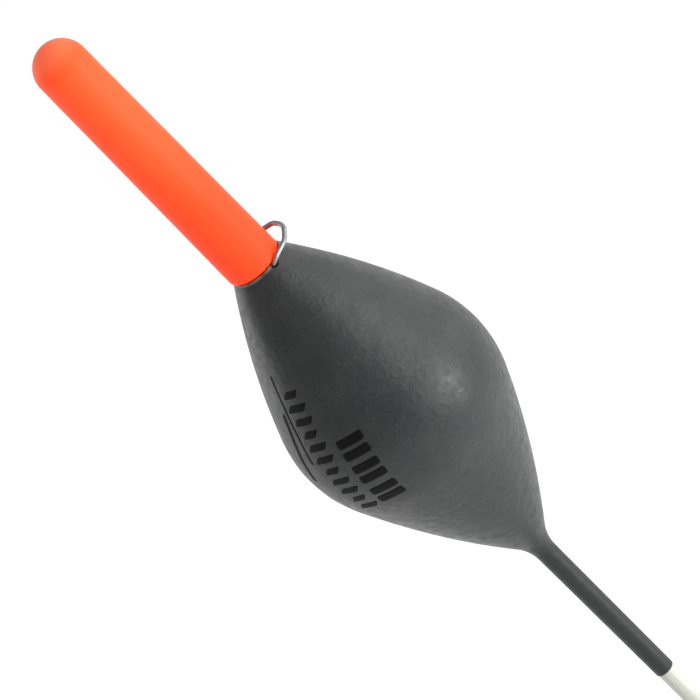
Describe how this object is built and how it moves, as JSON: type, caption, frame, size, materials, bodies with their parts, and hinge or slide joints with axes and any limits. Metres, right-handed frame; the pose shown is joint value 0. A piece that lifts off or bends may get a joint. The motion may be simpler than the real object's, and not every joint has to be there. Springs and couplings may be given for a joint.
{
  "type": "pole fishing float",
  "caption": "Small fishing float: pear-shaped foam body with a dark dip coat, bright hollow sight tip, wire line eye beside the tip and a slim glass-fibre stem.",
  "frame": {"origin": "on the float's axis, at the lower end of the stem", "axes": "+Z along the stem towards the sight tip; +X towards the side on which the line eye stands out; the eye's two legs are at -Y and +Y"},
  "size_m": [0.0088, 0.0088, 0.0597],
  "materials": {
    "glass_fibre": "pale, slightly translucent pultruded glass fibre",
    "rigid_foam": "closed-cell rigid foam, hidden under the coat",
    "dip_coat": "satin dark grey dip coat with a fine orange-peel surface",
    "adhesive": "clear amber adhesive",
    "plug_plastic": "natural white moulded plastic",
    "sight_tip": "satin fluorescent orange-red",
    "eye_wire": "bright drawn stainless wire"
  },
  "bodies": {
    "root": {"stem_rod": "glass_fibre", "foam_body": "rigid_foam", "body_coat": "dip_coat", "stem_glue": "adhesive", "tip_plug": "plug_plastic", "tip_tube": "sight_tip", "tip_glue": "adhesive", "line_eye": "eye_wire", "eye_glue": "adhesive"}
  },
  "joints": []
}
